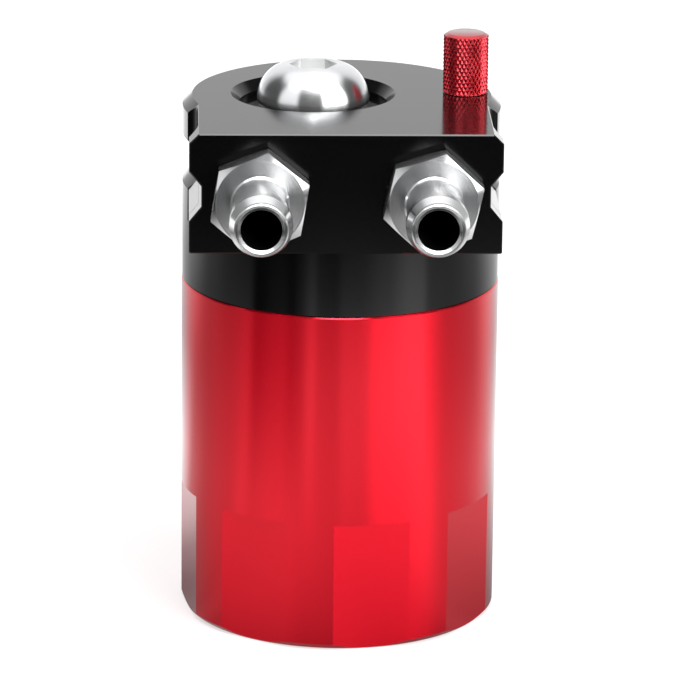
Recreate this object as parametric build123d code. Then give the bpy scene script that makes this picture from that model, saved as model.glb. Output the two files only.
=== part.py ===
from build123d import *
import os
from math import atan2, degrees, hypot, pi, radians, sqrt, tan

# Oil catch can for a car's engine bay: a cup, a screwed-on billet head with two hose fittings,
# a domed plug, a dipstick and a mesh separator inside. Lengths are in millimetres. The origin is
# the middle of the can's base, +Z is up, the hose fittings point along -Y.

# Can, with grip flats milled round its foot
CAN_RADIUS = 38.0
CAN_HEIGHT = 82.0
CAN_WALL = 3.0
CAN_FLOOR = 3.0
BASE_CHAMFER = 1.2
FLAT_COUNT = 8
FLAT_HEIGHT = 31.0
FLAT_DEPTH = 1.13
FLAT_PHASE = 11.0

# Screwed joint between can and head: a pilot land with a seal, then a threaded length
PILOT_LENGTH = 6.0
THREAD_LENGTH = 8.0
THREAD_DEPTH = 0.8
SPIGOT_WALL = 2.4
SEAM_CHAMFER = 0.3
RUNNING_GAP = 0.05
SEAT_GAP = 0.02

# Seals: section diameter of the round rings, and the spare width of their grooves
CAN_SEAL = 1.5
PORT_SEAL = 1.3
SEAL_SIDE_ROOM = 0.25

# Head: a round ring below, and above it a block with a front plate wider than its flanks
RING_STEP = 0.15
RING_HEIGHT = 16.0
BLOCK_HEIGHT = 28.5
PLATE_OVERHANG = 1.65
PLATE_INSET = 1.55
PLATE_THICKNESS = 6.0
SLOT_DEPTH = 2.1
SLOT_MILL_RADIUS = 3.0
FIN_FRONT = 9.6
TOP_CHAMFER = 2.3
NOTCH_BELOW_TOP = 9.0
NOTCH_FLANK = 3.5
NOTCH_FLOOR = 4.8
NOTCH_DEPTH = 2.85
EDGE_BREAK = 0.3

# Bracket pad on the back of the head, with two tapped holes
PAD_DEPTH = 4.0
PAD_HEIGHT = 18.0
BRACKET_SPACING = 24.0
BRACKET_HOLE_RADIUS = 2.5
BRACKET_HOLE_DEPTH = 9.0

# Domed plug in its countersunk recess
PLUG_X = -6.8
PLUG_Y = 1.35
RECESS_RADIUS = 19.6
RECESS_CONE_WIDTH = 1.9
RECESS_CONE_DEPTH = 2.4
RECESS_DEPTH = 3.7
DOME_RADIUS = 13.35
DOME_HEIGHT = 8.45
DOME_FLAT_RADIUS = 6.0
PLUG_COLLAR = 2.25
PLUG_FOOT_RADIUS = 12.7
PLUG_FOOT_HEIGHT = 0.95
PLUG_BEVEL_HEIGHT = 0.85
PLUG_SHANK_RADIUS = 9.0
PLUG_SHANK_LENGTH = 8.0
SOCKET_ACROSS = 10.0
SOCKET_DEPTH = 6.0

# Gas chamber above the separator
CHAMBER_X = 4.0
CHAMBER_Y = 2.5
CHAMBER_LEDGE = 11.8
CHAMBER_ROOF = 6.8

# Hose fittings, measured along their own axis from the plate
PORT_EDGE = 16.3
PORT_BELOW_TOP = 15.1
HEX_ACROSS = 21.0
HEX_THICKNESS = 6.0
HEX_FACE_RADIUS = 10.3
HEX_CHAMFER_ANGLE = 25.0
INLET_HEX_TURN = -9.0
OUTLET_HEX_TURN = -13.0
COLLAR_RADIUS = 6.9
COLLAR_LENGTH = 1.0
NECK_RADIUS = 6.5
NECK_LENGTH = 15.4
BARB_RADIUS = 7.25
BARB_STEP = 0.6
BARB_LAND = 3.0
BARB_TAPER = 2.6
TIP_RADIUS = 6.2
TIP_GROOVE = 0.5
TIP_RIM = 1.0
PORT_BORE_RADIUS = 4.7
PORT_MOUTH_CHAMFER = 0.7
PORT_THREAD_RADIUS = 8.0
PORT_THREAD_LENGTH = 10.0

# Tube that leads the gas down into the can
TUBE_OUTER_RADIUS = 5.0
TUBE_WALL = 1.0
TUBE_ROOM = 0.35
TUBE_SEAT = 6.0
TUBE_END = 32.0

# Dipstick
KNOB_EDGE = 4.7
KNOB_Y = 2.5
KNOB_RADIUS = 5.4
KNOB_HEIGHT = 14.5
KNOB_CHAMFER = 0.8
KNOB_SHANK_RADIUS = 3.5
KNOB_SHANK_LENGTH = 8.0
ROD_RADIUS = 1.2
ROD_SEAT = 5.0
ROD_END = 8.0
ROD_PASSAGE_RADIUS = 2.2
LEVEL_MARKS = (18.0, 34.0)
LEVEL_MARK_WIDTH = 1.0
LEVEL_MARK_DEPTH = 0.3

# Separator pack: screen, mesh pad, baffle plate and the ring that holds them in the head
PACK_GAP = 0.2
SCREEN_THICKNESS = 1.0
PAD_THICKNESS = 11.0
BAFFLE_THICKNESS = 1.0
PIERCING_RADIUS = 2.5
PIERCING_RIM = 4.6
PIERCING_RING_PITCH = 8.6
PIERCING_SPACING = 8.4
PIERCING_MARGIN = 1.0
CIRCLIP_THICKNESS = 1.2
CIRCLIP_RADIAL = 3.0
CIRCLIP_SEAT = 1.0
CIRCLIP_GAP_ANGLE = 24.0
CIRCLIP_EAR = 2.6
CIRCLIP_EAR_HOLE = 0.9
CIRCLIP_EAR_SWING = 6.0

# Levels and radii that follow from the sizes above
BORE_RADIUS = CAN_RADIUS - CAN_WALL
PILOT_RADIUS = BORE_RADIUS - RUNNING_GAP
CORE_RADIUS = BORE_RADIUS - THREAD_DEPTH
SPIGOT_BORE = CORE_RADIUS - SPIGOT_WALL
SPIGOT_END = CAN_HEIGHT - PILOT_LENGTH - THREAD_LENGTH
RING_RADIUS = CAN_RADIUS - RING_STEP
RING_TOP = CAN_HEIGHT + RING_HEIGHT
HEAD_TOP = RING_TOP + BLOCK_HEIGHT
PLATE_FRONT = RING_RADIUS + PLATE_OVERHANG
PLATE_HALF = RING_RADIUS - PLATE_INSET
SLOT_FLOOR = PLATE_HALF - SLOT_DEPTH
PORT_X = PLATE_HALF - PORT_EDGE
PORT_Z = HEAD_TOP - PORT_BELOW_TOP
RECESS_FLOOR = HEAD_TOP - RECESS_DEPTH
CHAMBER_RADIUS = SPIGOT_BORE - CHAMBER_LEDGE
CHAMBER_TOP = RECESS_FLOOR - CHAMBER_ROOF
CIRCLIP_OUTER = SPIGOT_BORE + CIRCLIP_SEAT - RUNNING_GAP
CIRCLIP_INNER = CIRCLIP_OUTER - CIRCLIP_RADIAL
TUBE_BORE = TUBE_OUTER_RADIUS - TUBE_WALL
TUBE_AXIS_RADIUS = CIRCLIP_INNER - TUBE_ROOM - TUBE_OUTER_RADIUS
TUBE_X = -PORT_X
TUBE_Y = -sqrt(TUBE_AXIS_RADIUS ** 2 - PORT_X ** 2)
TUBE_TOP = RING_TOP + TUBE_SEAT
KNOB_X = SLOT_FLOOR - KNOB_EDGE
KNOB_SHANK_END = HEAD_TOP - KNOB_SHANK_LENGTH
PLUG_END = RECESS_FLOOR - PLUG_SHANK_LENGTH
PACK_RADIUS = SPIGOT_BORE - PACK_GAP
SCREEN_BASE = RING_TOP - SCREEN_THICKNESS
PAD_BASE = SCREEN_BASE - PAD_THICKNESS
BAFFLE_BASE = PAD_BASE - BAFFLE_THICKNESS
CIRCLIP_BASE = BAFFLE_BASE - CIRCLIP_THICKNESS
PORT_SEAL_OFFSET = PORT_SEAL / 2 + 2 * SEAL_SIDE_ROOM
CAN_SEAL_Z = CAN_HEIGHT - PILOT_LENGTH / 2
PLUG_SEAL_Z = RECESS_FLOOR - PORT_SEAL_OFFSET
KNOB_SEAL_Z = HEAD_TOP - PORT_SEAL_OFFSET
CAN_SEAL_GROOVE = BORE_RADIUS - 2 * RUNNING_GAP - CAN_SEAL
PLUG_SEAL_GROOVE = PLUG_SHANK_RADIUS - 2 * RUNNING_GAP - PORT_SEAL
PORT_SEAL_GROOVE = PORT_THREAD_RADIUS - 2 * RUNNING_GAP - PORT_SEAL
KNOB_SEAL_GROOVE = KNOB_SHANK_RADIUS - 2 * RUNNING_GAP - PORT_SEAL
PORT_HOLE_END = PORT_THREAD_LENGTH + EDGE_BREAK - PLATE_FRONT
REACH = 2 * PLATE_FRONT
BASE = (Align.CENTER, Align.CENTER, Align.MIN)


def column(radius, bottom, top, x=0.0, y=0.0):
    """Upright round bar between two levels."""
    return Pos(x, y, bottom) * Cylinder(radius, top - bottom, align=BASE)


def drill(radius, y_from, y_to, x, z):
    """Round bar along +Y, for a hole drilled from the front or the back."""
    return Pos(x, y_from, z) * Rot(-90, 0, 0) * Cylinder(radius, y_to - y_from, align=BASE)


def turned(points):
    """Solid of revolution about Z from (radius, height) points."""
    return revolve(make_face(Plane.XZ * Polyline(*points, close=True)), Axis.Z)


def ring_seal(section, groove_radius, height, x=0.0, y=0.0):
    """Round seal that lies just clear of its groove's floor."""
    return Pos(x, y, height) * Torus(groove_radius + RUNNING_GAP + section / 2, section / 2)


def seal_groove(section, groove_radius, outer_radius, height):
    """Ring of metal to cut away for a seal centred at this height."""
    half = section / 2 + SEAL_SIDE_ROOM
    land = column(outer_radius, height - half, height + half)
    return land - column(groove_radius, height - half, height + half)


def make_can():
    """Cup turned from bar, with grip flats milled round its lower part."""
    cup = turned([
        (0, 0),
        (CAN_RADIUS - BASE_CHAMFER, 0),
        (CAN_RADIUS, BASE_CHAMFER),
        (CAN_RADIUS, CAN_HEIGHT - SEAM_CHAMFER),
        (CAN_RADIUS - SEAM_CHAMFER, CAN_HEIGHT),
        (BORE_RADIUS + SEAM_CHAMFER, CAN_HEIGHT),
        (BORE_RADIUS, CAN_HEIGHT - SEAM_CHAMFER),
        (BORE_RADIUS, CAN_FLOOR),
        (0, CAN_FLOOR),
    ])
    slab = Pos(0, FLAT_DEPTH - CAN_RADIUS, 0) * Box(
        CAN_RADIUS, CAN_RADIUS, FLAT_HEIGHT, align=(Align.CENTER, Align.MAX, Align.MIN))
    for index in range(FLAT_COUNT):
        cup -= Rot(0, 0, FLAT_PHASE + index * 360 / FLAT_COUNT) * slab
    return cup


def flank(edge):
    """Side outline of the block from its notch up to its sloping top edge, as (distance, height)."""
    notch_top = HEAD_TOP - NOTCH_BELOW_TOP
    floor_top = notch_top - NOTCH_FLANK
    floor_bottom = floor_top - NOTCH_FLOOR
    return [
        (edge, floor_bottom - NOTCH_FLANK),
        (edge - NOTCH_DEPTH, floor_bottom),
        (edge - NOTCH_DEPTH, floor_top),
        (edge, notch_top),
        (edge, HEAD_TOP - TOP_CHAMFER),
        (edge - TOP_CHAMFER, HEAD_TOP),
    ]


def make_head_outside():
    """Turned drum with the front plate's bar across it, slotted on both sides behind the plate."""
    drum = turned([
        (0, CAN_HEIGHT),
        (RING_RADIUS - SEAM_CHAMFER, CAN_HEIGHT),
        (RING_RADIUS, CAN_HEIGHT + SEAM_CHAMFER),
        *flank(RING_RADIUS),
        (0, HEAD_TOP),
    ])
    right = [(PLATE_HALF - EDGE_BREAK, RING_TOP), (PLATE_HALF, RING_TOP + EDGE_BREAK), *flank(PLATE_HALF)]
    left = [(-x, z) for x, z in reversed(right)]
    front = make_face(Plane.XZ * Polyline(*right, *left, close=True))
    bar_length = PLATE_FRONT - FIN_FRONT
    bar = Pos(0, -FIN_FRONT, 0) * extrude(front, bar_length, dir=(0, -1, 0))
    slot_length = bar_length - PLATE_THICKNESS
    slot_plan = RectangleRounded(RING_RADIUS, slot_length, SLOT_MILL_RADIUS)
    slot = Pos(0, 0, RING_TOP) * extrude(slot_plan, BLOCK_HEIGHT)
    head = chamfer(bar.faces().sort_by(Axis.Y)[0].edges(), EDGE_BREAK) + drum
    for side in (-1, 1):
        head -= Pos(side * (SLOT_FLOOR + RING_RADIUS / 2), -FIN_FRONT - slot_length / 2, 0) * slot
    return head


def make_spigot():
    """Threaded neck under the head, with the groove of the can's seal in its pilot land."""
    pilot_end = CAN_HEIGHT - PILOT_LENGTH
    spigot = column(PILOT_RADIUS, pilot_end, CAN_HEIGHT) + turned([
        (0, SPIGOT_END),
        (CORE_RADIUS - THREAD_DEPTH, SPIGOT_END),
        (CORE_RADIUS, SPIGOT_END + THREAD_DEPTH),
        (CORE_RADIUS, pilot_end),
        (0, pilot_end),
    ])
    return spigot - seal_groove(CAN_SEAL, CAN_SEAL_GROOVE, BORE_RADIUS, CAN_SEAL_Z)


def make_head():
    """Billet head with its ports, chamber, recess, dipstick hole and bracket pad."""
    head = make_head_outside() + make_spigot()
    head -= column(SPIGOT_BORE, SPIGOT_END, RING_TOP)
    head -= column(SPIGOT_BORE + CIRCLIP_SEAT, CIRCLIP_BASE, CIRCLIP_BASE + CIRCLIP_THICKNESS)
    head -= column(CHAMBER_RADIUS, RING_TOP, CHAMBER_TOP, CHAMBER_X, CHAMBER_Y)

    inner = RECESS_RADIUS - RECESS_CONE_WIDTH
    cone = Pos(PLUG_X, PLUG_Y, 0) * turned([
        (0, RECESS_FLOOR),
        (inner, RECESS_FLOOR),
        (inner, HEAD_TOP - RECESS_CONE_DEPTH),
        (RECESS_RADIUS, HEAD_TOP),
        (0, HEAD_TOP),
    ])
    head -= cone
    head -= column(PLUG_SHANK_RADIUS, PLUG_END - RUNNING_GAP, RECESS_FLOOR, PLUG_X, PLUG_Y)

    for x, inner_end in ((-PORT_X, TUBE_Y + TUBE_OUTER_RADIUS), (PORT_X, CHAMBER_Y)):
        head -= drill(PORT_THREAD_RADIUS, -PLATE_FRONT, PORT_HOLE_END, x, PORT_Z)
        head -= drill(PORT_BORE_RADIUS, PORT_HOLE_END, inner_end, x, PORT_Z)
    head -= column(TUBE_OUTER_RADIUS + SEAT_GAP, RING_TOP, TUBE_TOP, TUBE_X, TUBE_Y)
    head -= column(TUBE_BORE, TUBE_TOP, PORT_Z, TUBE_X, TUBE_Y)

    head -= column(KNOB_SHANK_RADIUS, KNOB_SHANK_END, HEAD_TOP, KNOB_X, KNOB_Y)
    head -= column(ROD_PASSAGE_RADIUS, RING_TOP, KNOB_SHANK_END, KNOB_X, KNOB_Y)

    pad_y = RING_RADIUS - PAD_DEPTH
    pad_z = RING_TOP + BLOCK_HEIGHT / 2
    head -= Pos(0, pad_y, pad_z) * Box(
        REACH, REACH, PAD_HEIGHT, align=(Align.CENTER, Align.MIN, Align.CENTER))
    for side in (-1, 1):
        x = side * BRACKET_SPACING / 2
        head -= drill(BRACKET_HOLE_RADIUS, pad_y - BRACKET_HOLE_DEPTH, pad_y, x, pad_z)
    return head


def make_plug():
    """Domed screw plug: narrow foot, bevelled rim, round shoulder and a flat top with a hexagon socket."""
    seat = RECESS_FLOOR
    dome_base = seat + PLUG_COLLAR
    apex = dome_base + DOME_HEIGHT
    shank_radius = PLUG_SHANK_RADIUS - RUNNING_GAP
    outline = Polyline(
        (DOME_FLAT_RADIUS, apex),
        (0, apex),
        (0, PLUG_END),
        (shank_radius - EDGE_BREAK, PLUG_END),
        (shank_radius, PLUG_END + EDGE_BREAK),
        (shank_radius, seat),
        (PLUG_FOOT_RADIUS, seat),
        (PLUG_FOOT_RADIUS, seat + PLUG_FOOT_HEIGHT),
        (DOME_RADIUS, seat + PLUG_FOOT_HEIGHT + PLUG_BEVEL_HEIGHT),
        (DOME_RADIUS, dome_base),
    )
    shoulder = EllipticalCenterArc(
        (DOME_FLAT_RADIUS, dome_base), DOME_RADIUS - DOME_FLAT_RADIUS, DOME_HEIGHT, start_angle=0, arc_size=90)
    plug = revolve(make_face(Plane.XZ * (outline + shoulder)), Axis.Z)
    plug -= seal_groove(PORT_SEAL, PLUG_SEAL_GROOVE, PLUG_SHANK_RADIUS, PLUG_SEAL_Z)
    socket = extrude(RegularPolygon(SOCKET_ACROSS / 2, 6, major_radius=False), SOCKET_DEPTH)
    plug -= Pos(0, 0, apex - SOCKET_DEPTH) * socket
    return Pos(PLUG_X, PLUG_Y, 0) * plug


def make_fitting(x, hex_turn):
    """Hose fitting turned from hexagon bar: thread behind the hexagon, barbed nipple in front."""
    collar_end = HEX_THICKNESS + COLLAR_LENGTH
    neck_end = HEX_THICKNESS + NECK_LENGTH
    land_start = neck_end + BARB_STEP
    land_end = land_start + BARB_LAND
    taper_end = land_end + BARB_TAPER
    rim_start = taper_end + TIP_GROOVE
    tip = rim_start + TIP_RIM
    thread = PORT_THREAD_RADIUS - SEAT_GAP
    nipple = turned([
        (PORT_BORE_RADIUS, -PORT_THREAD_LENGTH),
        (thread - EDGE_BREAK, -PORT_THREAD_LENGTH),
        (thread, EDGE_BREAK - PORT_THREAD_LENGTH),
        (thread, 0),
        (COLLAR_RADIUS, HEX_THICKNESS),
        (COLLAR_RADIUS, collar_end),
        (NECK_RADIUS, collar_end + COLLAR_RADIUS - NECK_RADIUS),
        (NECK_RADIUS, neck_end),
        (BARB_RADIUS, land_start),
        (BARB_RADIUS, land_end),
        (TIP_RADIUS, taper_end),
        (TIP_RADIUS - TIP_GROOVE, taper_end),
        (TIP_RADIUS - TIP_GROOVE, rim_start),
        (TIP_RADIUS, rim_start),
        (TIP_RADIUS, tip - EDGE_BREAK),
        (TIP_RADIUS - EDGE_BREAK, tip),
        (PORT_BORE_RADIUS + PORT_MOUTH_CHAMFER, tip),
        (PORT_BORE_RADIUS, tip - PORT_MOUTH_CHAMFER),
    ])
    nipple -= seal_groove(PORT_SEAL, PORT_SEAL_GROOVE, PORT_THREAD_RADIUS, -PORT_SEAL_OFFSET)
    corner = HEX_ACROSS / sqrt(3)
    drop = (corner - HEX_FACE_RADIUS) * tan(radians(HEX_CHAMFER_ANGLE))
    corner_up = RegularPolygon(HEX_ACROSS / 2, 6, major_radius=False, rotation=90)
    hexagon = extrude(corner_up, HEX_THICKNESS)
    hexagon &= turned([
        (PORT_BORE_RADIUS, 0),
        (HEX_FACE_RADIUS, 0),
        (corner, drop),
        (corner, HEX_THICKNESS - drop),
        (HEX_FACE_RADIUS, HEX_THICKNESS),
        (PORT_BORE_RADIUS, HEX_THICKNESS),
    ])
    fitting = nipple + Rot(0, 0, hex_turn) * hexagon
    return Pos(x, -PLATE_FRONT, PORT_Z) * Rot(90, 0, 0) * fitting


def make_port_seal(x):
    """Seal in the groove behind a fitting's hexagon."""
    seal = ring_seal(PORT_SEAL, PORT_SEAL_GROOVE, -PORT_SEAL_OFFSET)
    return Pos(x, -PLATE_FRONT, PORT_Z) * Rot(90, 0, 0) * seal


def make_tube():
    """Plain tube pressed into the head under the inlet."""
    outer = column(TUBE_OUTER_RADIUS, TUBE_END, TUBE_TOP, TUBE_X, TUBE_Y)
    return outer - column(TUBE_BORE, TUBE_END, TUBE_TOP, TUBE_X, TUBE_Y)


def make_knob():
    """Dipstick knob with its threaded shank, drilled for the rod."""
    shank = KNOB_SHANK_RADIUS - RUNNING_GAP
    top = HEAD_TOP + KNOB_HEIGHT
    knob = turned([
        (0, KNOB_SHANK_END),
        (shank, KNOB_SHANK_END),
        (shank, HEAD_TOP),
        (KNOB_RADIUS - EDGE_BREAK, HEAD_TOP),
        (KNOB_RADIUS, HEAD_TOP + EDGE_BREAK),
        (KNOB_RADIUS, top - KNOB_CHAMFER),
        (KNOB_RADIUS - KNOB_CHAMFER, top),
        (0, top),
    ])
    knob -= seal_groove(PORT_SEAL, KNOB_SEAL_GROOVE, KNOB_SHANK_RADIUS, KNOB_SEAL_Z)
    knob -= column(ROD_RADIUS + SEAT_GAP, KNOB_SHANK_END, KNOB_SHANK_END + ROD_SEAT)
    return Pos(KNOB_X, KNOB_Y, 0) * knob


def make_rod():
    """Dipstick rod with a ring cut at each oil level."""
    rod = column(ROD_RADIUS, ROD_END, KNOB_SHANK_END + ROD_SEAT)
    for level in LEVEL_MARKS:
        band = column(ROD_RADIUS, level, level + LEVEL_MARK_WIDTH)
        rod -= band - column(ROD_RADIUS - LEVEL_MARK_DEPTH, level, level + LEVEL_MARK_WIDTH)
    return Pos(KNOB_X, KNOB_Y, 0) * rod


def pack_disc(base, thickness):
    """Separator disc with clearance holes for the tube and the dipstick."""
    disc = column(PACK_RADIUS, base, base + thickness)
    disc -= column(TUBE_OUTER_RADIUS + PACK_GAP, base, base + thickness, TUBE_X, TUBE_Y)
    return disc - column(ROD_PASSAGE_RADIUS, base, base + thickness, KNOB_X, KNOB_Y)


def pierced_disc(base, thickness):
    """Separator disc with rings of holes that keep clear of the tube and the dipstick."""
    disc = pack_disc(base, thickness)
    reach = PIERCING_RADIUS + PIERCING_MARGIN
    passages = ((TUBE_X, TUBE_Y, TUBE_OUTER_RADIUS + reach), (KNOB_X, KNOB_Y, ROD_PASSAGE_RADIUS + reach))
    outer_ring = PACK_RADIUS - PIERCING_RIM
    for index in range(int(outer_ring / PIERCING_RING_PITCH)):
        ring_radius = outer_ring - index * PIERCING_RING_PITCH
        for place in PolarLocations(ring_radius, round(2 * pi * ring_radius / PIERCING_SPACING)):
            x, y = place.position.X, place.position.Y
            if all(hypot(x - px, y - py) > room for px, py, room in passages):
                disc -= column(PIERCING_RADIUS, base, base + thickness, x, y)
    return disc


def make_circlip():
    """Spring ring under the baffle plate. Its eared gap leaves room for the dipstick."""
    top = CIRCLIP_BASE + CIRCLIP_THICKNESS
    half = CIRCLIP_GAP_ANGLE / 2
    ring = column(CIRCLIP_OUTER, CIRCLIP_BASE, top) - column(CIRCLIP_INNER, CIRCLIP_BASE, top)
    gap = make_face(Polyline(
        (0, 0),
        (REACH, -REACH * tan(radians(half))),
        (REACH, REACH * tan(radians(half))),
        close=True,
    ))
    rod_bearing = degrees(atan2(KNOB_Y, KNOB_X))
    ring -= Pos(0, 0, CIRCLIP_BASE) * Rot(0, 0, rod_bearing) * extrude(gap, CIRCLIP_THICKNESS)
    ear_radius = SPIGOT_BORE - PACK_GAP - CIRCLIP_EAR
    for side in (-1, 1):
        turn = Rot(0, 0, rod_bearing + side * (half + CIRCLIP_EAR_SWING))
        ring += turn * column(CIRCLIP_EAR, CIRCLIP_BASE, top, ear_radius)
        ring -= turn * column(CIRCLIP_EAR_HOLE, CIRCLIP_BASE, top, ear_radius)
    return ring


NODES = {
    "can_body": make_can(),
    "head": make_head(),
    "can_o_ring": ring_seal(CAN_SEAL, CAN_SEAL_GROOVE, CAN_SEAL_Z),
    "breather_plug": make_plug(),
    "plug_o_ring": ring_seal(PORT_SEAL, PLUG_SEAL_GROOVE, PLUG_SEAL_Z, PLUG_X, PLUG_Y),
    "inlet_fitting": make_fitting(-PORT_X, INLET_HEX_TURN),
    "outlet_fitting": make_fitting(PORT_X, OUTLET_HEX_TURN),
    "inlet_o_ring": make_port_seal(-PORT_X),
    "outlet_o_ring": make_port_seal(PORT_X),
    "inlet_down_tube": make_tube(),
    "dipstick_knob": make_knob(),
    "dipstick_rod": make_rod(),
    "dipstick_o_ring": ring_seal(PORT_SEAL, KNOB_SEAL_GROOVE, KNOB_SEAL_Z, KNOB_X, KNOB_Y),
    "upper_screen": pierced_disc(SCREEN_BASE, SCREEN_THICKNESS),
    "mesh_pad": pack_disc(PAD_BASE, PAD_THICKNESS),
    "baffle_plate": pierced_disc(BAFFLE_BASE, BAFFLE_THICKNESS),
    "baffle_circlip": make_circlip(),
}

os.makedirs("parts", exist_ok=True)
for name, solid in NODES.items():
    export_step(solid, f"parts/{name}.step")
    print(name, round(solid.volume / 1000, 2), "cm3")
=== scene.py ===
# %% [markdown]
# # An oil catch can for an engine bay
# The solids arrive as a fixed frame, in metres, with +Z up: a red cup, a black billet head with two
# hose fittings, a domed plug and a dipstick. They already have the main shapes. This lesson gives
# them their finishes, cuts the knurl and the threads that solids leave plain, fills a slot that
# should stop short, and lights the lot like a product photograph.

# %% Load the frame
from math import cos, pi, radians, sin
import bmesh
import bpy
import numpy as np
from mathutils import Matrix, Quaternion, Vector


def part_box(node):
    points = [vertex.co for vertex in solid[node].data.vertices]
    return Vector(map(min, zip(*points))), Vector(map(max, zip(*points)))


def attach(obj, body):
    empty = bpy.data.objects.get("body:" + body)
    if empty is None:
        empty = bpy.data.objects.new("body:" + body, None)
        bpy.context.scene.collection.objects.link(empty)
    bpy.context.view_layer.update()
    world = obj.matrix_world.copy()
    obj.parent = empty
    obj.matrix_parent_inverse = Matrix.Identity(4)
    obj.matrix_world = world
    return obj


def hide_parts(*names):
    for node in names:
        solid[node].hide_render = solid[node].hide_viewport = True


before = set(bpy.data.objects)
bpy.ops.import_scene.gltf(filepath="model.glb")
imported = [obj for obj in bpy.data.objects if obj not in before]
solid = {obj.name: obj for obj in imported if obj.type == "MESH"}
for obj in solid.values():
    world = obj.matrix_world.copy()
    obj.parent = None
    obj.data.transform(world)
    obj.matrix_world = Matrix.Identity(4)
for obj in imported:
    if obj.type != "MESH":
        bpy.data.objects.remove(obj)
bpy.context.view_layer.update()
MM = 0.001

# %% [markdown]
# ## Camera
# The picture is a long-lens one. A camera fitted to the can's outline stands 1.18 m away and looks
# down 16.5 degrees, a little left of the middle and tipped by half a degree. A long lens keeps the
# can's sides almost parallel, which is most of what makes a product picture look calm.

# %% Camera at the photograph's angle
CAMERA_DISTANCE = 1.1834
CAMERA_ELEVATION = radians(16.531)
CAMERA_BEARING = radians(1.889)
CAMERA_ROLL = radians(0.613)
CAMERA_LENS = 259.8
AIM = Vector((0.0002, 0.0, 0.0655))

level = cos(CAMERA_ELEVATION)
forward = Vector((sin(CAMERA_BEARING) * level, cos(CAMERA_BEARING) * level, -sin(CAMERA_ELEVATION)))
camera = bpy.data.objects.new("camera", bpy.data.cameras.new("camera"))
camera.data.lens = CAMERA_LENS
camera.rotation_mode = "QUATERNION"
camera.rotation_quaternion = forward.to_track_quat("-Z", "Y") @ Quaternion((0, 0, 1), CAMERA_ROLL)
camera.location = AIM - forward * CAMERA_DISTANCE
bpy.context.collection.objects.link(camera)
scene = bpy.context.scene
scene.camera = camera
scene.view_settings.view_transform = "Standard"
print("camera at", [round(c, 3) for c in camera.location])


# %% [markdown]
# ## One colour function and one node function
# Colours are written as the sRGB hex values that a picture editor shows, and Blender wants linear
# light, so one function converts them. One more function adds any node: settings go on the node,
# and each input is either a value or a link from another node's output.

# %% Helpers for colours and nodes
def linear(hex_colour):
    """Linear RGBA of an sRGB hex colour: c / 12.92 below 0.04045, else ((c + 0.055) / 1.055) ** 2.4."""
    c = np.array([int(hex_colour[i:i + 2], 16) for i in (1, 3, 5)]) / 255
    return (*np.where(c <= 0.04045, c / 12.92, ((c + 0.055) / 1.055) ** 2.4), 1.0)


def add(tree, kind, inputs=None, **settings):
    """Add one node, with its settings, and fill its inputs by name or number with links or values."""
    node = tree.nodes.new(kind)
    for name, value in settings.items():
        setattr(node, name, value)
    for key, value in (inputs or {}).items():
        if isinstance(value, bpy.types.NodeSocket):
            tree.links.new(value, node.inputs[key])
        else:
            node.inputs[key].default_value = value
    return node


def new_material(name):
    """Empty node material with its tree and its output node."""
    material = bpy.data.materials.new(name)
    material.use_nodes = True
    material.node_tree.nodes.clear()
    return material, material.node_tree, add(material.node_tree, "ShaderNodeOutputMaterial")


print("red as linear light:", [round(c, 3) for c in linear("#d0202c")])

# %% [markdown]
# ## Light tent
# Shiny metal shows the room, so the room comes first. The polished dome mirrors all of it: a soft
# box at each side of the camera, a dark slit between them where the camera stands, a dark gap at
# each side of the tent, white behind, and a strong light overhead. Lamps could do this one by one, but
# each would throw its own shadow. So the room is drawn in the world as three ramps round the compass:
# how bright the wall is at each bearing, how high it goes before the roof starts, and how bright the
# roof is. The levels were set by comparing renders with the picture. Only camera rays see
# the plain white background: the metal mirrors the tent.

# %% Ramp round the compass
def compass_ramp(tree, way, stops):
    """Value that follows (bearing, value) stops round the compass, with bearing 0 at the camera's side:
    the bearing of a direction is the arc tangent of x over -y. The ramp holds shares of the highest value."""
    highest = max(value for _, value in stops)
    ahead = add(tree, "ShaderNodeMath", {0: way.outputs["Y"], 1: -1.0}, operation="MULTIPLY")
    bearing = add(tree, "ShaderNodeMath", {0: way.outputs["X"], 1: ahead.outputs[0]}, operation="ARCTAN2")
    turn = add(tree, "ShaderNodeMapRange", {0: bearing.outputs[0], 1: -pi, 2: pi, 3: 0.0, 4: 1.0})
    ramp = add(tree, "ShaderNodeValToRGB", {0: turn.outputs[0]})
    ramp.color_ramp.interpolation = "EASE"
    marks = ramp.color_ramp.elements
    for index, (degrees_round, value) in enumerate(stops):
        place = (degrees_round + 180) / 360
        mark = marks[index] if index < 2 else marks.new(place)
        mark.position = place
        mark.color = (*[value / highest] * 3, 1.0)
    return add(tree, "ShaderNodeMath", {0: ramp.outputs[0], 1: highest}, operation="MULTIPLY").outputs[0]


def blend(tree, share, first, second):
    """Mix of two values by a share from 0 to 1."""
    return add(tree, "ShaderNodeMix", {0: share, 2: first, 3: second}, data_type="FLOAT").outputs[0]


# %% World: walls and roof of the tent
ROOF_SOFT_EDGE = 0.1
WALLS = (
    (-180, 1.04), (-150, 1.0), (-136, 0.6), (-122, 0.08), (-82, 0.08), (-71, 1.15), (-38, 1.15),
    (-29, 0.13), (16, 0.13), (25, 4.5), (67, 4.5), (78, 0.12), (118, 0.12), (132, 0.8), (150, 1.0),
    (180, 1.04),
)
ROOF = (
    (-180, 1.4), (-100, 1.2), (-50, 2.8), (-30, 5.0), (-8, 7.6), (12, 7.6), (34, 5.0), (54, 2.8),
    (100, 1.2), (180, 1.4),
)
WALL_HEIGHT_DEGREES = (-180, 44), (-60, 44), (-34, 52), (20, 52), (40, 44), (180, 44)
world = bpy.data.worlds.new("light_tent")
scene.world = world
world.use_nodes = True
sky = world.node_tree
sky.nodes.clear()
ray = add(sky, "ShaderNodeTexCoord")
way = add(sky, "ShaderNodeSeparateXYZ", {0: ray.outputs["Generated"]})
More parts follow.
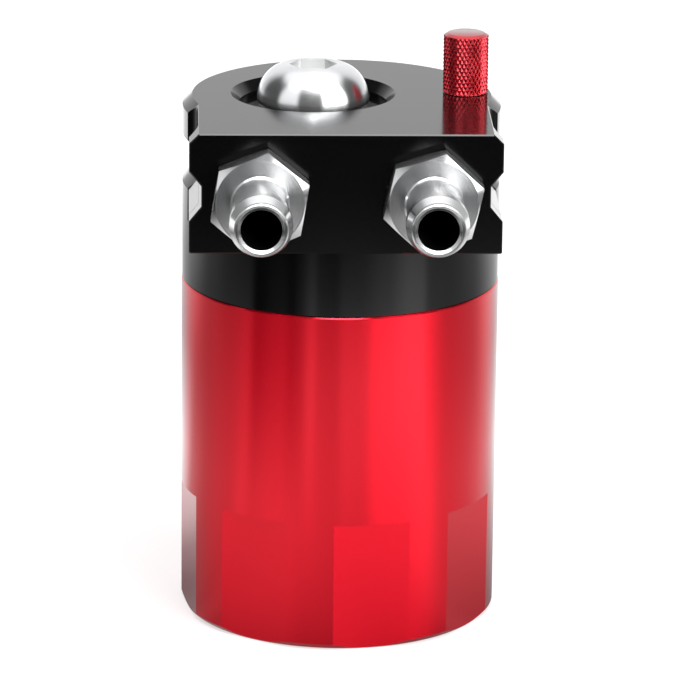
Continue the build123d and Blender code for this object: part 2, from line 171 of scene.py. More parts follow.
wall_light = compass_ramp(sky, way, WALLS)
roof_light = compass_ramp(sky, way, ROOF)
roof_foot = compass_ramp(sky, way, [(bearing, sin(radians(top))) for bearing, top in WALL_HEIGHT_DEGREES])
roof_full = add(sky, "ShaderNodeMath", {0: roof_foot, 1: ROOF_SOFT_EDGE}, operation="ADD")
climb = add(sky, "ShaderNodeMapRange", {0: way.outputs["Z"], 1: roof_foot, 2: roof_full.outputs[0]})
room = blend(sky, climb.outputs[0], wall_light, roof_light)
seen = add(sky, "ShaderNodeLightPath")
strength = blend(sky, seen.outputs["Is Camera Ray"], room, 1.0)
tent = add(sky, "ShaderNodeBackground", {0: linear("#ffffff"), 1: strength})
add(sky, "ShaderNodeOutputWorld", {0: tent.outputs[0]})
print("room nodes:", len(sky.nodes))

# %% [markdown]
# ## Floor
# A pale floor takes the soft shadow. What the camera sees of it is mostly plain white, and the rest is
# lit paint, which is where the shadow shows. What the metal sees of it is another matter: an upright
# wall mirrors the table in front of it, bright close to the can and darker further off. So for all rays
# but the camera's the table glows with painted light in four rings, each with a ramp round the compass,
# and the glow is dimmed, as a painted shadow, where the can's own foot shades it. The levels were set
# until the streaks down the can fell where the picture has them. They belong to this picture's light and
# not to the can.

# %% Floor
FLOOR_HALF = 6.0
FLOOR_DROP = 0.0002
corners = np.array([(-1, -1), (1, -1), (1, 1), (-1, 1)]) * FLOOR_HALF
floor_mesh = bpy.data.meshes.new("floor")
floor_mesh.from_pydata(np.column_stack([corners, np.full(4, -FLOOR_DROP)]).tolist(), [], [(0, 1, 2, 3)])
floor = bpy.data.objects.new("floor", floor_mesh)
bpy.context.collection.objects.link(floor)
print("floor", 2 * FLOOR_HALF, "m wide")

# %% Light of the table at each bearing, ring by ring
# The table's glow is painted light: an emission seen by all rays but the camera's, set by bearing and
# distance.
TABLE_RINGS = 0.14, 0.25, 0.34, 0.46
NEAR_TABLE = (
    (-180, 1.4), (-150, 1.5), (-136, 1.4), (-121, 0.8), (-104, 0.66), (-80, 0.82), (-66, 1.1),
    (-60, 0.96), (-48, 1.08), (-34, 1.08), (-15, 0.93), (-3, 0.84), (3, 0.88), (18, 0.66), (36, 0.7),
    (56, 1.08), (70, 0.9), (90, 0.84), (118, 0.95), (150, 1.3), (180, 1.4),
)
MIDDLE_TABLE = (
    (-180, 1.0), (-150, 0.6), (-121, 0.15), (-90, 0.42), (-72, 0.56), (-67, 0.54), (-61, 0.02),
    (-46, 0.24), (-40, 0.32), (-34, 0.08), (-29, 0.4), (-20, 1.6), (-15, 0.94), (-4, 0.88), (1, 1.36),
    (15, 1.36), (28, 1.4), (40, 1.6), (57, 1.6), (62, 0.72), (68, 0.62), (79, 0.48), (104, 0.32),
    (128, 0.6), (180, 1.0),
)
FAR_TABLE = (
    (-180, 0.9), (-128, 0.75), (-104, 0.4), (-84, 0.27), (-67, 0.24), (-61, 0.01), (-42, 0.08),
    (-34, 0.02), (-29, 0.12), (-20, 0.46), (-15, 0.16), (-4, 0.12), (1, 0.3), (12, 0.32), (30, 0.65),
    (48, 1.35), (57, 1.25), (63, 0.55), (70, 0.48), (84, 0.4), (104, 0.5), (136, 0.95), (180, 0.9),
)
TABLE_EDGE = (
    (-180, 1.8), (-128, 1.6), (-104, 0.5), (-70, 0.06), (-34, 0.02), (-10, 0.02), (12, 0.03),
    (30, 0.15), (52, 0.35), (70, 0.2), (104, 0.5), (128, 1.6), (180, 1.8),
)
print("table rings end at", TABLE_RINGS, "m")

# %% Floor paint and its painted glow
SHADOW_SHARE = 0.4
FOOT_START, FOOT_END, FOOT_SHADE_SHARE = 0.04, 0.15, 0.34
floor_paint_and_glow, tree, out = new_material("white_table_painted_glow")
paint = add(tree, "ShaderNodeBsdfDiffuse", {0: linear("#f6f6f6")})
white = add(tree, "ShaderNodeEmission", {0: linear("#ffffff"), 1: 1.0})
shown = add(tree, "ShaderNodeMixShader", {0: SHADOW_SHARE, 1: white.outputs[0], 2: paint.outputs[0]})
place = add(tree, "ShaderNodeTexCoord")
spot = add(tree, "ShaderNodeSeparateXYZ", {0: place.outputs["Object"]})
reach = add(tree, "ShaderNodeVectorMath", {0: place.outputs["Object"]}, operation="LENGTH")
distance = reach.outputs["Value"]
table = compass_ramp(tree, spot, NEAR_TABLE)
for stops, inner, outer in zip((MIDDLE_TABLE, FAR_TABLE, TABLE_EDGE), TABLE_RINGS, TABLE_RINGS[1:]):
    further = add(tree, "ShaderNodeMapRange", {0: distance, 1: inner, 2: outer})
    table = blend(tree, further.outputs[0], table, compass_ramp(tree, spot, stops))
# Painted shadow: close to the can's foot the table's glow is dimmed to about a third.
foot = add(tree, "ShaderNodeMapRange", {0: distance, 1: FOOT_START, 2: FOOT_END, 3: FOOT_SHADE_SHARE, 4: 1.0})
dimmed = add(tree, "ShaderNodeMath", {0: table, 1: foot.outputs[0]}, operation="MULTIPLY")
painted_table_glow = add(tree, "ShaderNodeEmission", {0: linear("#ffffff"), 1: dimmed.outputs[0]})
seen = add(tree, "ShaderNodeLightPath")
by_camera = seen.outputs["Is Camera Ray"]
either = add(tree, "ShaderNodeMixShader", {0: by_camera, 1: painted_table_glow.outputs[0], 2: shown.outputs[0]})
tree.links.new(either.outputs[0], out.inputs[0])
floor_mesh.materials.append(floor_paint_and_glow)
print("made", floor_paint_and_glow.name)

# %% [markdown]
# ## Lamp
# One large soft lamp above and behind the camera's right shoulder gives the picture a direction, so
# that the fittings throw a faint shadow down the front plate.

# %% Overhead lamp
LAMP_WIDTH, LAMP_DEPTH = 0.7, 0.5
LAMP_WATTS = 1.5
LAMP_PLACE = 0.25, -0.35, 0.95
lamp = bpy.data.objects.new("overhead_softbox", bpy.data.lights.new("overhead_softbox", "AREA"))
lamp.data.shape = "RECTANGLE"
lamp.data.size = LAMP_WIDTH
lamp.data.size_y = LAMP_DEPTH
lamp.data.energy = LAMP_WATTS
lamp.location = LAMP_PLACE
lamp.rotation_mode = "QUATERNION"
lamp.rotation_quaternion = (AIM - lamp.location).to_track_quat("-Z", "Y")
lamp.visible_camera = False
bpy.context.collection.objects.link(lamp)
print("lamp", lamp.data.energy, "W")


# %% [markdown]
# ## Red anodised aluminium
# The can is turned from bar and dyed in the anodising bath. Anodising leaves a thin clear layer of
# oxide on dyed metal: the metal under it gives the deep red, and the clear layer gives the white
# sheen at the can's edges. So the shader is a rough red metal with a clear coat. The lathe leaves
# fine rings, which drag every reflection out along the can, so the metal is anisotropic about Z.

# %% Lathe rings shared by the turned finishes
RING_DETAIL = 3.0


def lathe_rings(tree, axis, centre, pitch_mm, depth_mm, strength=1.0):
    """Bump from rings cut at this pitch round an axis: noise along one number, the height along the
    axis plus the distance from it, so that rings show on the rounds and on the faces alike."""
    across = [0.0 if name == axis else 1.0 for name in "XYZ"]
    place = add(tree, "ShaderNodeTexCoord")
    offset = add(tree, "ShaderNodeVectorMath", {0: place.outputs["Object"], 1: centre}, operation="SUBTRACT")
    flat = add(tree, "ShaderNodeVectorMath", {0: offset.outputs[0], 1: across}, operation="MULTIPLY")
    reach = add(tree, "ShaderNodeVectorMath", {0: flat.outputs[0]}, operation="LENGTH").outputs["Value"]
    height = add(tree, "ShaderNodeSeparateXYZ", {0: offset.outputs[0]}).outputs[axis]
    path = add(tree, "ShaderNodeMath", {0: height, 1: reach}, operation="ADD").outputs[0]
    rings = {"W": path, "Scale": 1 / (pitch_mm * MM), "Detail": RING_DETAIL}
    marks = add(tree, "ShaderNodeTexNoise", rings, noise_dimensions="1D").outputs[0]
    bump = add(tree, "ShaderNodeBump", {"Height": marks, "Strength": strength, "Distance": depth_mm * MM})
    return marks, bump.outputs[0], reach


# %% Red finish
# A finishing cut feeds about 0.1 mm a turn. Its rings are drawn five times as coarse, so that they show.
RED_RING_MM = 0.5
# At a low angle light crosses more of the dye, so less red comes back from the can's edges.
LOW_ANGLE_TINT = "#c3ffff"
DYED_METAL = 0.92
OXIDE_SHARE = 0.8
# A quarter of a turn lays the long axis of the gloss across the rings.
ACROSS_RINGS = 0.25


def red_anodised(name, reds, ring_depth_mm, roughness, anisotropy, coat_roughness, coat_ior):
    """Dyed and sealed aluminium. The eye sees deep red with broad satin bands, and a pale sheen at the
    edges."""
    material, tree, out = new_material(name)
    marks, bump, _ = lathe_rings(tree, "Z", (0, 0, 0), RED_RING_MM, ring_depth_mm)
    tone = add(tree, "ShaderNodeMix", {0: marks, 6: linear(reds[0]), 7: linear(reds[1])}, data_type="RGBA")
    around = add(tree, "ShaderNodeTangent", direction_type="RADIAL", axis="Z")
    metal = add(tree, "ShaderNodeBsdfPrincipled", {
        "Base Color": tone.outputs[2],
        "Metallic": DYED_METAL,
        "Specular Tint": linear(LOW_ANGLE_TINT),
        "Roughness": roughness,
        "Anisotropic": anisotropy,
        "Anisotropic Rotation": ACROSS_RINGS,
        "Tangent": around.outputs[0],
        "Normal": bump,
        "Coat Weight": OXIDE_SHARE,
        "Coat Roughness": coat_roughness,
        "Coat IOR": coat_ior,
    })
    tree.links.new(metal.outputs[0], out.inputs[0])
    return material


red_can = red_anodised(
    "red_anodised_aluminium_turned", reds=("#fb0e28", "#ff142e"), ring_depth_mm=0.0015,
    roughness=0.25, anisotropy=0.855, coat_roughness=0.15, coat_ior=1.32,
)
red_grip = red_anodised(
    "red_anodised_aluminium_knurled", reds=("#c00a1e", "#cc0c24"), ring_depth_mm=0.0,
    roughness=0.24, anisotropy=0.0, coat_roughness=0.12, coat_ior=1.55,
)
print("made", red_can.name, red_grip.name)

# %% [markdown]
# ## Black anodised aluminium
# The head is milled from billet, fine-blasted and dyed black. Black dye takes nearly all the light,
# so what is left is the gloss of the sealed oxide: almost black face on, and grey where the top
# mirrors the bright tent at a low angle. A dielectric black with a low roughness does just that.

# %% Black finish
# Blasting grit leaves pits of about 0.1 mm. They are drawn six times as coarse, so that they show.
GRAIN_MM = 0.6
GRAIN_DEPTH_MM = 0.0003
GRAIN_DETAIL = 4.0
GRAIN_LOW, GRAIN_HIGH = 0.3, 0.7
GLOSSIEST, DULLEST = 0.1, 0.15
black_head, tree, out = new_material("black_anodised_aluminium_milled")
place = add(tree, "ShaderNodeTexCoord")
pits = {"Vector": place.outputs["Object"], "Scale": 1 / (GRAIN_MM * MM), "Detail": GRAIN_DETAIL}
grain = add(tree, "ShaderNodeTexNoise", pits).outputs[0]
gloss = add(tree, "ShaderNodeMapRange", {0: grain, 1: GRAIN_LOW, 2: GRAIN_HIGH, 3: GLOSSIEST, 4: DULLEST})
fine = add(tree, "ShaderNodeBump", {"Height": grain, "Strength": 1.0, "Distance": GRAIN_DEPTH_MM * MM})
oxide = add(tree, "ShaderNodeBsdfPrincipled", {
    "Base Color": linear("#050506"),
    "Roughness": gloss.outputs[0],
    "Normal": fine.outputs[0],
})
tree.links.new(oxide.outputs[0], out.inputs[0])
print("made", black_head.name)


# %% [markdown]
# ## Bright metal
# The fittings are turned from hexagon bar and left bright, and the plug's dome is polished. Both are
# bare aluminium: a pale metal whose roughness says how far the polishing went. A facing cut leaves
# rings on a flat face, so its sheen fans out from the middle, while the rounds of the same piece come
# off the tool smoother and mirror what stands beside them. Holes get a colour and a roughness of their
# own: a long bore is painted near-black, which is painted shade, and a broached socket is torn and dull.
# The rings are drawn coarser than a real feed of about 0.1 mm, so that they show.

# %% Masks for turned pieces
FACE_STARTS, FACE_FULL = 0.9, 0.98
HOLE_SOFT_EDGE = 1.01


def faces_of(tree, axis):
    """1 on faces square to the axis and 0 on surfaces that run along it, by the normal's share along it."""
    place = add(tree, "ShaderNodeTexCoord")
    normal = add(tree, "ShaderNodeSeparateXYZ", {0: place.outputs["Normal"]})
    share = add(tree, "ShaderNodeMath", {0: normal.outputs[axis]}, operation="ABSOLUTE")
    return add(tree, "ShaderNodeMapRange", {0: share.outputs[0], 1: FACE_STARTS, 2: FACE_FULL}).outputs[0]


def walls_within(tree, reach, face, radius_mm):
    """1 on the walls of a hole round the axis: nearer to it than the radius, and not on a face."""
    edge = radius_mm * MM
    fade = {0: reach, 1: edge, 2: edge * HOLE_SOFT_EDGE, 3: 1.0, 4: 0.0}
    within = add(tree, "ShaderNodeMapRange", fade).outputs[0]
    return add(tree, "ShaderNodeMath", {0: within, 1: face}, operation="SUBTRACT", use_clamp=True).outputs[0]


# %% Bare metals
ROUND_RING_SHARE = 0.1


def bare_metal(name, colour, axis, centre, rounds, faces, anisotropy, ring_mm, ring_depth_mm, hole=None):
    """Turned bare metal. The eye sees a pale sheen that fans out across the ring marks round an axis.
    Rounds and faces have a roughness each. A hole is (radius in mm, colour, roughness), and a near-black
    hole colour is painted shade on its walls."""
    material, tree, out = new_material(name)
    face = faces_of(tree, axis)
    depth = blend(tree, face, ROUND_RING_SHARE, 1.0)
    _, bump, reach = lathe_rings(tree, axis, centre, ring_mm, ring_depth_mm, depth)
    polish = rounds if rounds == faces else blend(tree, face, rounds, faces)
    tone = linear(colour)
    if hole:
        radius_mm, hole_colour_and_shade, hole_roughness = hole
        wall = walls_within(tree, reach, face, radius_mm)
        polish = blend(tree, wall, polish, hole_roughness)
        # On a hole's walls the colour is swapped: the socket keeps a metal colour, and a long bore gets
        # painted shade.
        tones = {0: wall, 6: tone, 7: linear(hole_colour_and_shade)}
        tone = add(tree, "ShaderNodeMix", tones, data_type="RGBA").outputs[2]
    around = add(tree, "ShaderNodeTangent", direction_type="RADIAL", axis=axis)
    metal = add(tree, "ShaderNodeBsdfPrincipled", {
        "Base Color": tone,
        "Metallic": 1.0,
        "Roughness": polish,
        "Anisotropic": anisotropy,
        "Anisotropic Rotation": ACROSS_RINGS,
        "Tangent": around.outputs[0],
        "Normal": bump,
    })
    tree.links.new(metal.outputs[0], out.inputs[0])
    return material


def middle(node):
    """Middle of a solid's box, in metres."""
    return [(low + high) / 2 for low, high in zip(*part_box(node))]


# %% Bright fittings and polished plug
PORT_BORE, BORE_ROUGHNESS = 4.73, 0.6
SOCKET_CORNER, SOCKET_ROUGHNESS = 5.85, 0.5
# The bores' near-black #060606 is painted shade: bare metal deep in a long bore gets little light.
fitting_metal = {
    node: bare_metal(
        f"bright_aluminium_turned_{node}", "#dddedf", "Y", middle(node), rounds=0.18, faces=0.26,
        anisotropy=0.95, ring_mm=0.4, ring_depth_mm=0.03, hole=(PORT_BORE, "#060606", BORE_ROUGHNESS),
    )
    for node in ("inlet_fitting", "outlet_fitting")
}
polished_dome = bare_metal(
    "polished_aluminium_turned", "#e6e7e9", "Z", middle("breather_plug"), rounds=0.23, faces=0.23,
    anisotropy=0.9, ring_mm=0.45, ring_depth_mm=0.08, hole=(SOCKET_CORNER, "#f2f2f2", SOCKET_ROUGHNESS),
)
print("made", *fitting_metal, polished_dome.name)

# %% [markdown]
# ## Metals inside
# The down tube is drawn aluminium as it leaves the mill, the discs and the rod are ground stainless
# steel, and the spring ring is oiled spring steel. None is polished, so one roughness does for the
# rounds and the faces. The same shader makes all three: only colour, gloss and marks differ.

# %% Metals of the inner pieces
mill_tube = bare_metal(
    "mill_finish_aluminium_drawn", "#c4c6c8", "Z", (0, 0, 0), rounds=0.35, faces=0.35,
    anisotropy=0.4, ring_mm=0.8, ring_depth_mm=0.001,
)
stainless = bare_metal(
    "stainless_steel_ground", "#b9bab8", "Z", (0, 0, 0), rounds=0.28, faces=0.28,
    anisotropy=0.4, ring_mm=0.3, ring_depth_mm=0.0005,
)
spring = bare_metal(
    "spring_steel_oiled", "#56575b", "Z", (0, 0, 0), rounds=0.3, faces=0.3,
    anisotropy=0.2, ring_mm=0.6, ring_depth_mm=0.0008,
)
print("made", mill_tube.name, stainless.name, spring.name)

# %% [markdown]
# ## Seal rubber and knitted mesh
# The seals are moulded nitrile rubber, matt black with a faint bloom. The separator pad is knitted
# wire: many small loops, drawn as a cell pattern at the loop's size, bright on the wire and dark
# between, where the dark is painted shade in the gaps between the loops.

# %% Rubber
BLOOM_MM = 1.5
RUBBER_ROUGHNESS = 0.6
rubber, tree, out = new_material("nitrile_rubber_moulded")
place = add(tree, "ShaderNodeTexCoord")
bloom = add(tree, "ShaderNodeTexNoise", {"Vector": place.outputs["Object"], "Scale": 1 / (BLOOM_MM * MM)})
blacks = {0: bloom.outputs[0], 6: linear("#161617"), 7: linear("#222223")}
tone = add(tree, "ShaderNodeMix", blacks, data_type="RGBA")
skin = add(tree, "ShaderNodeBsdfPrincipled", {"Base Color": tone.outputs[2], "Roughness": RUBBER_ROUGHNESS})
tree.links.new(skin.outputs[0], out.inputs[0])
print("made", rubber.name)

# %% Knitted mesh
LOOP_MM = 2.5
WIRE_MM = 0.3
WIRE_FULL, WIRE_GONE = 0.05, 0.18
WIRE_ROUGHNESS = 0.35
knit, tree, out = new_material("stainless_wire_knitted")
place = add(tree, "ShaderNodeTexCoord")
loops = add(tree, "ShaderNodeTexVoronoi", {"Vector": place.outputs["Object"], "Scale": 1 / (LOOP_MM * MM)},
            feature="DISTANCE_TO_EDGE")
fade = {0: loops.outputs["Distance"], 1: WIRE_FULL, 2: WIRE_GONE, 3: 1.0, 4: 0.0}
wire = add(tree, "ShaderNodeMapRange", fade).outputs[0]
# Near-black between the wires is painted shade of the gaps, and the pale grey is the wire's own colour.
tone = add(tree, "ShaderNodeMix", {0: wire, 6: linear("#1b1b1c"), 7: linear("#b4b5b6")}, data_type="RGBA")
relief = add(tree, "ShaderNodeBump", {"Height": wire, "Strength": 1.0, "Distance": WIRE_MM * MM})
mesh_wire = add(tree, "ShaderNodeBsdfPrincipled", {
    "Base Color": tone.outputs[2],
    "Metallic": wire,
    "Roughness": WIRE_ROUGHNESS,
    "Normal": relief.outputs[0],
})
tree.links.new(mesh_wire.outputs[0], out.inputs[0])
print("made", knit.name)

# %% [markdown]
# ## Dressing the solids
# On the real can each piece gets its finish before it is put together, and so it is here: every solid
# takes one material by its name. What isn't in the list is a seal, and seals are rubber.

# %% Dress the solids
finishes = {
    "can_body": red_can,
    "head": black_head,
    "breather_plug": polished_dome,
    **fitting_metal,
    "inlet_down_tube": mill_tube,
    "dipstick_knob": red_grip,
    "dipstick_rod": stainless,
    "upper_screen": stainless,
    "baffle_plate": stainless,
    "baffle_circlip": spring,
    "mesh_pad": knit,
}
for name, piece in solid.items():
    piece.data.materials.clear()
    piece.data.materials.append(finishes.get(name, rubber))
print("dressed", len(solid), "solids,", len(solid) - len(finishes), "of them seals")


# %% [markdown]
# ## Turned pieces
# The knob and the plug are turned on a lathe, so each is one profile carried round its axis, from pole
# to pole. A knurl or a thread is then a formula that lowers the radius at a height and an angle. That
# is close to how the cutter does it, and it needs no modelling by hand.

# %% Surface helpers
POLE_MERGE = 1e-7


def grid_piece(name, points, material, smooth=True):
    """Mesh from a grid of points, rows by columns by xyz: each four neighbours make a quad, and the last
    column joins the first. Points that meet at a pole are merged."""
    rows, columns = points.shape[:2]
    row, column = np.meshgrid(np.arange(rows - 1), np.arange(columns), indexing="ij")
    after = (column + 1) % columns
    quads = np.stack([row * columns + column, row * columns + after,
                      (row + 1) * columns + after, (row + 1) * columns + column], axis=-1).reshape(-1, 4)
    mesh = bpy.data.meshes.new(name)
    mesh.vertices.add(rows * columns)
    mesh.vertices.foreach_set("co", points.reshape(-1))
    mesh.loops.add(quads.size)
    mesh.loops.foreach_set("vertex_index", quads.reshape(-1))
    mesh.polygons.add(len(quads))
    mesh.polygons.foreach_set("loop_start", np.arange(0, quads.size, 4))
    mesh.polygons.foreach_set("use_smooth", np.broadcast_to(smooth, row.shape).reshape(-1).tolist())
    mesh.update(calc_edges=True)
    merged = bmesh.new()
    merged.from_mesh(mesh)
    bmesh.ops.remove_doubles(merged, verts=merged.verts, dist=POLE_MERGE)
    merged.to_mesh(mesh)
    merged.free()
    mesh.materials.append(material)
    piece = bpy.data.objects.new(name, mesh)
    bpy.context.collection.objects.link(piece)
    return piece


def round_axis(radius, z, angle, centre):
    """Points of a turned surface, in metres: x = cx + r cos a and y = cy + r sin a, each row at its z."""
    flat = centre[0] + radius * np.cos(angle), centre[1] + radius * np.sin(angle)
    return np.stack([*flat, np.broadcast_to(z, radius.shape)], axis=-1) * MM


def groove(phase):
    """V groove: 0 on the ridge line, where the phase is whole, and 1 at the bottom half-way between."""
    return 1 - np.abs(2 * (phase % 1) - 1)


def screw_cut(z, angle, low, high, pitch, depth):
    """Depth of a right-handed thread: a V groove whose phase is height / pitch less angle / 2 pi, which
    fades in over one pitch at both ends."""
    fade = np.clip(np.minimum(high - z, z - low) / pitch, 0, 1)
    return depth * fade * groove(z / pitch - angle / (2 * pi))


# %% [markdown]
# ## Knurled knob
# The dipstick's knob is rolled with a diamond knurl: two sets of V grooves that cross at thirty
# degrees to the axis and leave rows of little pyramids. On a lathe that is one tool pass, and here it
# is one formula: the grip's radius is the full radius less the deeper of the two grooves at that
# point. Below it are a seal groove and a short threaded shank, drilled for the rod.

# %% Knob sizes in mm
EDGE_MM = 0.3
ROWS_PER_PITCH = 16
STEPS_PER_GROOVE = 8
KNURL_STARTS = 31
KNURL_HELIX = radians(30)
KNURL_DEPTH = 0.36
RIM_INSET = KNURL_DEPTH / 3
KNURL_TOP_LAND = 0.06
KNURL_FOOT = 0.35
KNOB_EDGE_WIDTH, KNOB_EDGE_DROP = 0.9, 0.5
CAP_TURN_WIDTH, CAP_TURN_DROP = 0.1, 0.03
RIM_TURN_WIDTH, RIM_TURN_RISE = 0.08, 0.05
FOOT_BREAK_WIDTH, FOOT_BREAK_RISE = 0.25, 0.2
SHANK_RADIUS = 3.45
SHANK_PITCH, SHANK_THREAD_DEPTH = 1.0, 0.5
SEAL_GROOVE_RADIUS = 2.1
SEAL_GROOVE_TOP, SEAL_GROOVE_FOOT = 0.25, 2.05
ROD_HOLE, ROD_SEAT = 1.22, 5.0

lowest, highest = (np.array(corner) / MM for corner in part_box("dipstick_knob"))
knob_centre = (lowest[:2] + highest[:2]) / 2
shank_end, knob_top = lowest[2], highest[2]
grip_radius = (highest[0] - lowest[0]) / 2
head_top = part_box("head")[1][2] / MM
knurl_rise = 2 * pi * grip_radius / KNURL_STARTS / np.tan(KNURL_HELIX)
print("knurl:", KNURL_STARTS, "starts, rise", round(knurl_rise, 2), "mm")

# %% Knob profile, from the middle of its cap to the bottom of its rod hole
knurl_low, knurl_high = head_top + KNURL_FOOT, knob_top - KNOB_EDGE_DROP - KNURL_TOP_LAND
knurl_rows = int((knurl_high - knurl_low) / knurl_rise * ROWS_PER_PITCH)
groove_top, groove_foot = head_top - SEAL_GROOVE_TOP, head_top - SEAL_GROOVE_FOOT
thread_high, thread_low = groove_foot - EDGE_MM, shank_end + EDGE_MM
thread_rows = int((thread_high - thread_low) / SHANK_PITCH * ROWS_PER_PITCH)
rim = grip_radius - RIM_INSET
slope_top = rim - KNOB_EDGE_WIDTH
slope_foot = knob_top - KNOB_EDGE_DROP
cap = [(0, knob_top), (slope_top - CAP_TURN_WIDTH, knob_top), (slope_top, knob_top - CAP_TURN_DROP),
       (rim - RIM_TURN_WIDTH, slope_foot + RIM_TURN_RISE), (rim, slope_foot)]
grip = [(grip_radius, z) for z in np.linspace(knurl_high, knurl_low, knurl_rows)]
neck = [(rim, head_top + FOOT_BREAK_RISE), (rim - FOOT_BREAK_WIDTH, head_top), (SHANK_RADIUS, head_top),
        (SHANK_RADIUS, groove_top), (SEAL_GROOVE_RADIUS, groove_top), (SEAL_GROOVE_RADIUS, groove_foot),
        (SHANK_RADIUS, groove_foot)]
shank = [(SHANK_RADIUS, z) for z in np.linspace(thread_high, thread_low, thread_rows)]
tip = [(SHANK_RADIUS - EDGE_MM, shank_end), (ROD_HOLE, shank_end), (ROD_HOLE, shank_end + ROD_SEAT),
       (0, shank_end + ROD_SEAT)]
outline = np.array(cap + grip + neck + shank + tip)
print("knob profile:", len(outline), "rows")

# %% Knob
radius, z = outline[:, :1], outline[:, 1:]
angle = np.linspace(0, 2 * pi, KNURL_STARTS * STEPS_PER_GROOVE, endpoint=False)[None, :]
start = KNURL_STARTS * angle / (2 * pi)
knurl = KNURL_DEPTH * np.maximum(groove(start + z / knurl_rise), groove(start - z / knurl_rise))
screw = screw_cut(z, angle, thread_low, thread_high, SHANK_PITCH, SHANK_THREAD_DEPTH)
on_grip = radius == grip_radius
on_shank = radius == SHANK_RADIUS
cut = np.where(on_grip, knurl, 0.0) + np.where(on_shank, screw, 0.0)
points = round_axis(radius - cut, z, angle, knob_centre)
knob = grid_piece("knurled_knob", points[:, ::-1], red_grip, smooth=~on_grip[:-1])
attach(knob, "dipstick")
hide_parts("dipstick_knob")
print("knob:", len(knob.data.polygons), "faces")

# %% [markdown]
# ## Domed plug
# The plug is turned in one go: a round shoulder over a narrow foot, and a shank with a seal groove and
# a thread under it. The hexagon socket is broached afterwards. In the solids the shank is plain, so the
# whole plug is drawn again here with its thread cut in. It is one profile carried round its axis, like
# the knob, and only two rows leave the circle: the socket's edges follow a hexagon.

# %% Plug sizes in mm
DOME_RADIUS, DOME_FLAT, DOME_RISE = 13.35, 6.0, 8.45
SOCKET_ACROSS, SOCKET_DEPTH = 10.0, 6.0
FOOT_RADIUS, FOOT_RISE, BEVEL_RISE, COLLAR_RISE = 12.7, 0.95, 0.85, 2.25
PLUG_SHANK, PLUG_GROOVE = 8.95, 7.6
THREAD_PITCH, THREAD_DEPTH = 1.5, 0.7
SHOULDER_ROWS, PLUG_COLUMNS = 48, 240

lowest, highest = (np.array(corner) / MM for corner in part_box("breather_plug"))
plug_centre = (lowest[:2] + highest[:2]) / 2
plug_end, apex = lowest[2], highest[2]
dome_base = apex - DOME_RISE
seat = dome_base - COLLAR_RISE
print("plug seat at", round(seat, 2), "mm")

# %% Plug profile, from the middle of its socket to the middle of its end
foot_top = seat + FOOT_RISE
groove_top, groove_foot = seat - SEAL_GROOVE_TOP, seat - SEAL_GROOVE_FOOT
thread_high, thread_low = groove_foot - EDGE_MM, plug_end + EDGE_MM
thread_rows = int((thread_high - thread_low) / THREAD_PITCH * ROWS_PER_PITCH)
socket_radius, socket_floor = SOCKET_ACROSS / 2, apex - SOCKET_DEPTH
socket = [(0, socket_floor), (socket_radius, socket_floor), (socket_radius, apex)]
shoulder = [(DOME_FLAT + (DOME_RADIUS - DOME_FLAT) * cos(t), dome_base + DOME_RISE * sin(t))
            for t in np.linspace(pi / 2, 0, SHOULDER_ROWS)]
foot = [(DOME_RADIUS, foot_top + BEVEL_RISE), (FOOT_RADIUS, foot_top), (FOOT_RADIUS, seat)]
seal_groove = [(PLUG_SHANK, seat), (PLUG_SHANK, groove_top), (PLUG_GROOVE, groove_top),
               (PLUG_GROOVE, groove_foot), (PLUG_SHANK, groove_foot)]
shank = [(PLUG_SHANK, z) for z in np.linspace(thread_high, thread_low, thread_rows)]
end = [(PLUG_SHANK - EDGE_MM, plug_end), (0, plug_end)]
outline = np.array(socket + shoulder + foot + seal_groove + shank + end)
print("plug profile:", len(outline), "rows")

# %% Plug
radius, z = outline[:, :1], outline[:, 1:]
angle = np.linspace(0, 2 * pi, PLUG_COLUMNS, endpoint=False)[None, :]
on_socket = (radius == socket_radius) & (z >= socket_floor)
on_thread = (radius == PLUG_SHANK) & (z < thread_high) & (z > thread_low)
hexagon = radius / np.cos(angle % (pi / 3) - pi / 6)
screw = screw_cut(z, angle, thread_low, thread_high, THREAD_PITCH, THREAD_DEPTH)
cut_radius = np.where(on_socket, hexagon, radius - np.where(on_thread, screw, 0.0))
points = round_axis(cut_radius, z, angle, plug_centre)
row = np.arange(len(outline) - 1)[:, None]
on_shoulder = (row >= len(socket)) & (row < len(socket) + SHOULDER_ROWS)
plug = grid_piece("threaded_plug", points[:, ::-1], polished_dome, smooth=on_shoulder | on_thread[:-1])
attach(plug, "plug")
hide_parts("breather_plug")
print("plug:", len(plug.data.polygons), "faces")

# %% [markdown]
# ## Lower bar of the head
# The head's bar has a notch along each side. Above the notch the side is slotted behind the front plate,
# and below the notch it is whole: the cutter stops short there. The solids carry the slot all the way
# down, so each side gets one plain prism that closes it below the notch. Its section is the bar's own
# side outline, carried along the slot, with a pole in the middle of each end. It stands a hair proud of
# the bar, so that no two faces lie in one plane.

# %% Cheeks of the lower bar
PROUD = 0.015
ROOT_DEPTH = 0.1
BAR_HALF, SLOT_FLOOR = 36.3 + PROUD, 34.2
SLOT_FRONT, SLOT_BACK = -33.4, -9.7
BAR_FOOT, NOTCH_FOOT = 98.0 - PROUD, 105.7 + PROUD
NOTCH_SLOPE = 3.5 / 2.85

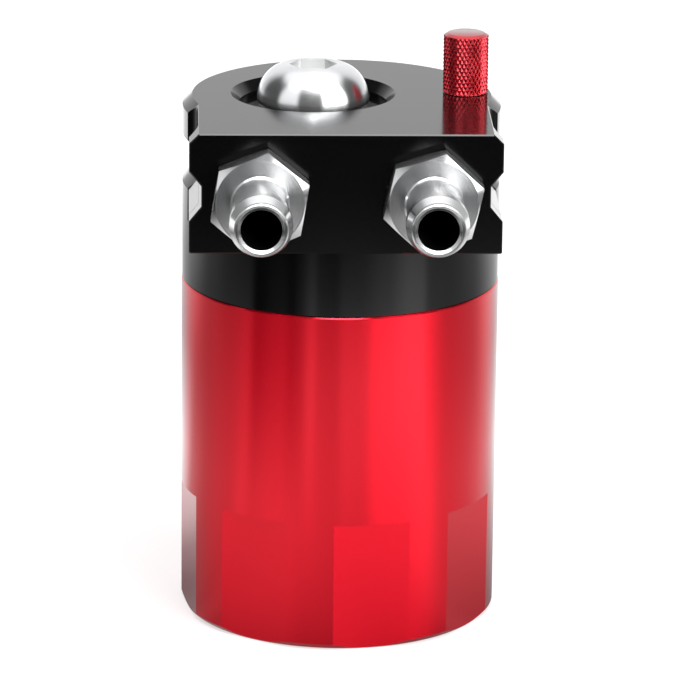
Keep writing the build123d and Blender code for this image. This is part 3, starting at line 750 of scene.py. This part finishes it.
root = SLOT_FLOOR - ROOT_DEPTH
side_outline = np.array([
    (root, BAR_FOOT), (BAR_HALF - EDGE_MM, BAR_FOOT), (BAR_HALF, BAR_FOOT + EDGE_MM), (BAR_HALF, NOTCH_FOOT),
    (root, NOTCH_FOOT + (BAR_HALF - root) * NOTCH_SLOPE),
])
pole = np.broadcast_to(side_outline.mean(axis=0), side_outline.shape)
section = np.stack([pole, side_outline, side_outline, pole])
along = np.array([SLOT_FRONT, SLOT_FRONT, SLOT_BACK, SLOT_BACK])[:, None]
y = np.broadcast_to(along, section.shape[:2])
for side, name in ((-1, "left_bar_cheek"), (1, "right_bar_cheek")):
    points = np.stack([side * section[..., 0], y, section[..., 1]], axis=-1) * MM
    cheek = grid_piece(name, points[:, ::-side], black_head, smooth=False)
    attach(cheek, "head")
print("cheeks:", round(SLOT_BACK - SLOT_FRONT, 2), "mm long")

# %% [markdown]
# ## Neck threads
# The head screws into the can by a 1.5 mm thread, right-handed like nearly all threads. On a lathe a
# pointed tool cuts it, and what is left is one long ridge that winds round like a spring. So each
# thread is one ridge here: four corners of its section carried along a helix, thinned to a point at
# both ends as a run-out is. The head's ridge stands outwards on its neck, the can's ridge inwards, and
# half a pitch lies between them, so that one runs in the groove of the other.

# %% Thread ridges
STEPS_PER_TURN = 120
RUN_OUT = pi / 2
ROOT_HALF, CREST_HALF = 0.42, 0.1


def thread_ridge(name, root_mm, crest_mm, low_mm, high_mm, material):
    """Ridge along the helix x = r cos a, y = r sin a, z = low + pitch a / 2 pi. At each step of the angle
    the section is a trapezoid between the root's and the crest's radius, and it shrinks to a point at both
    ends."""
    turns = (high_mm - low_mm) / THREAD_PITCH
    angle = np.linspace(0, 2 * pi * turns, int(turns * STEPS_PER_TURN))[:, None]
    swell = np.clip(np.minimum(angle, angle[-1] - angle) / RUN_OUT, 0, 1)
    radius = root_mm + (crest_mm - root_mm) * swell * np.array([0, 1, 1, 0])
    rise = swell * np.array([-ROOT_HALF, -CREST_HALF, CREST_HALF, ROOT_HALF])
    z = low_mm + THREAD_PITCH * angle / (2 * pi) + rise
    points = round_axis(radius, z, angle, (0, 0))
    return grid_piece(name, points[:, ::-1] if crest_mm > root_mm else points, material, smooth=False)


# %% Threads of the neck and the bore
ROOT_OVERLAP = 0.04
NECK_ROOT, NECK_CREST = 34.2 - ROOT_OVERLAP, 34.9
BORE_ROOT, BORE_CREST = 35.0 + ROOT_OVERLAP, 34.28
RIDGE_LOW, RIDGE_HIGH = 69.4, 75.4
outer = thread_ridge("neck_thread", NECK_ROOT, NECK_CREST, RIDGE_LOW, RIDGE_HIGH, black_head)
half_pitch_down = RIDGE_LOW - THREAD_PITCH / 2
inner = thread_ridge("bore_thread", BORE_ROOT, BORE_CREST, half_pitch_down, RIDGE_HIGH, red_can)
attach(outer, "head")
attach(inner, "can")
print("thread ridges:", [len(ridge.data.polygons) for ridge in (outer, inner)], "faces")
